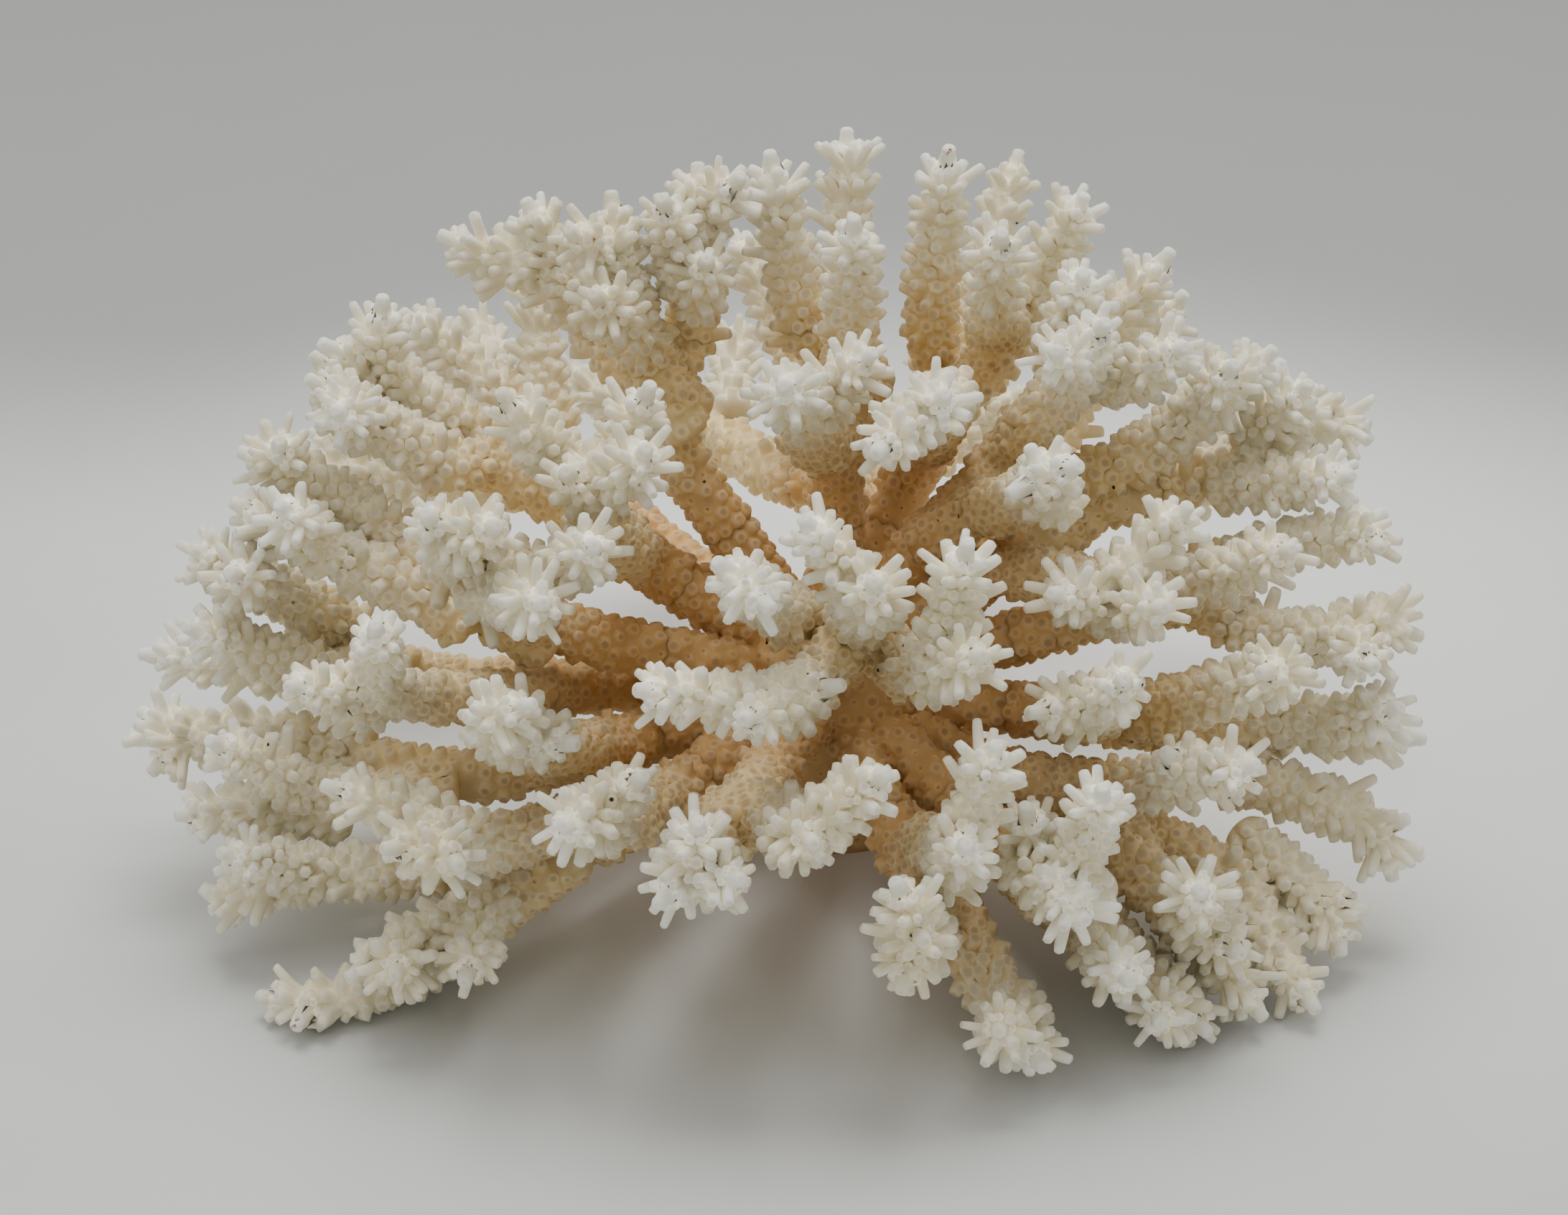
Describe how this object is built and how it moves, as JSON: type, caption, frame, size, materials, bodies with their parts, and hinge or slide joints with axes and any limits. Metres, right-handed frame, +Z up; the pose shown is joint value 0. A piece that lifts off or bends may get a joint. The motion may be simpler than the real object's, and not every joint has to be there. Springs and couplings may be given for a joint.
{
  "type": "plate coral",
  "caption": "Dried skeleton of a branching stony coral: twigs of small tubes radiate from a short stalk into a low dome, cut off flat so that it stands by itself",
  "frame": {"origin": "The middle of the flat cut under the stalk, on the surface the coral stands on", "axes": "+Z is up, square to the flat cut. The fullest side of the dome looks towards -Y, and +X is to the right as seen from there."},
  "size_m": [0.206, 0.1898, 0.1158],
  "materials": {
    "heart_coral": "matt porous coral skeleton, stained orange-brown",
    "limb_coral": "matt porous coral skeleton, tan to cream",
    "branch_coral": "matt porous coral skeleton, cream to bleached white at the tips"
  },
  "bodies": {
    "root": {"base": "heart_coral", "branch_back_left_low": "branch_coral", "branch_back_low_left": "branch_coral", "branch_back_low_right": "branch_coral", "branch_back_right_low": "branch_coral", "branch_bottom_front": "branch_coral", "branch_bottom_left_front": "branch_coral", "branch_bottom_right_front": "branch_coral", "branch_bottom_side": "branch_coral", "branch_front_left": "branch_coral", "branch_front_left_upper": "branch_coral", "branch_front_right": "branch_coral", "branch_left_low_front": "branch_coral", "branch_left_low_side": "branch_coral", "branch_left_mid": "branch_coral", "branch_left_upper": "branch_coral", "branch_left_upper_front": "branch_coral", "branch_left_upper_side": "branch_coral", "branch_lower_left_foot": "branch_coral", "branch_lower_left_front": "branch_coral", "branch_lower_left_mid": "branch_coral", "branch_lower_left_side": "branch_coral", "branch_lower_right_foot": "branch_coral", "branch_lower_right_mid": "branch_coral", "branch_right_front": "branch_coral", "branch_right_low_front": "branch_coral", "branch_right_low_side": "branch_coral", "branch_right_low_under": "branch_coral", "branch_right_side": "branch_coral", "branch_right_upper_side": "branch_coral", "branch_top_front": "branch_coral", "branch_top_left": "branch_coral", "branch_top_left_inner": "branch_coral", "branch_top_left_side": "branch_coral", "branch_top_right_front": "branch_coral", "branch_top_right_side": "branch_coral", "branch_upper_left_mid": "branch_coral", "branch_upper_left_side": "branch_coral", "branch_upper_right_front": "branch_coral", "branch_upper_right_mid": "branch_coral", "limb_back": "limb_coral", "limb_back_left": "limb_coral", "limb_back_right": "limb_coral", "limb_bottom": "limb_coral", "limb_bottom_left": "limb_coral", "limb_bottom_right": "limb_coral", "limb_front": "limb_coral", "limb_left": "limb_coral", "limb_left_low": "limb_coral", "limb_left_upper": "limb_coral", "limb_lower_left": "limb_coral", "limb_lower_right": "limb_coral", "limb_right": "limb_coral", "limb_right_low": "limb_coral", "limb_right_upper": "limb_coral", "limb_top": "limb_coral", "limb_top_left": "limb_coral", "limb_top_right": "limb_coral", "limb_upper_left": "limb_coral", "limb_upper_right": "limb_coral"}
  },
  "joints": []
}
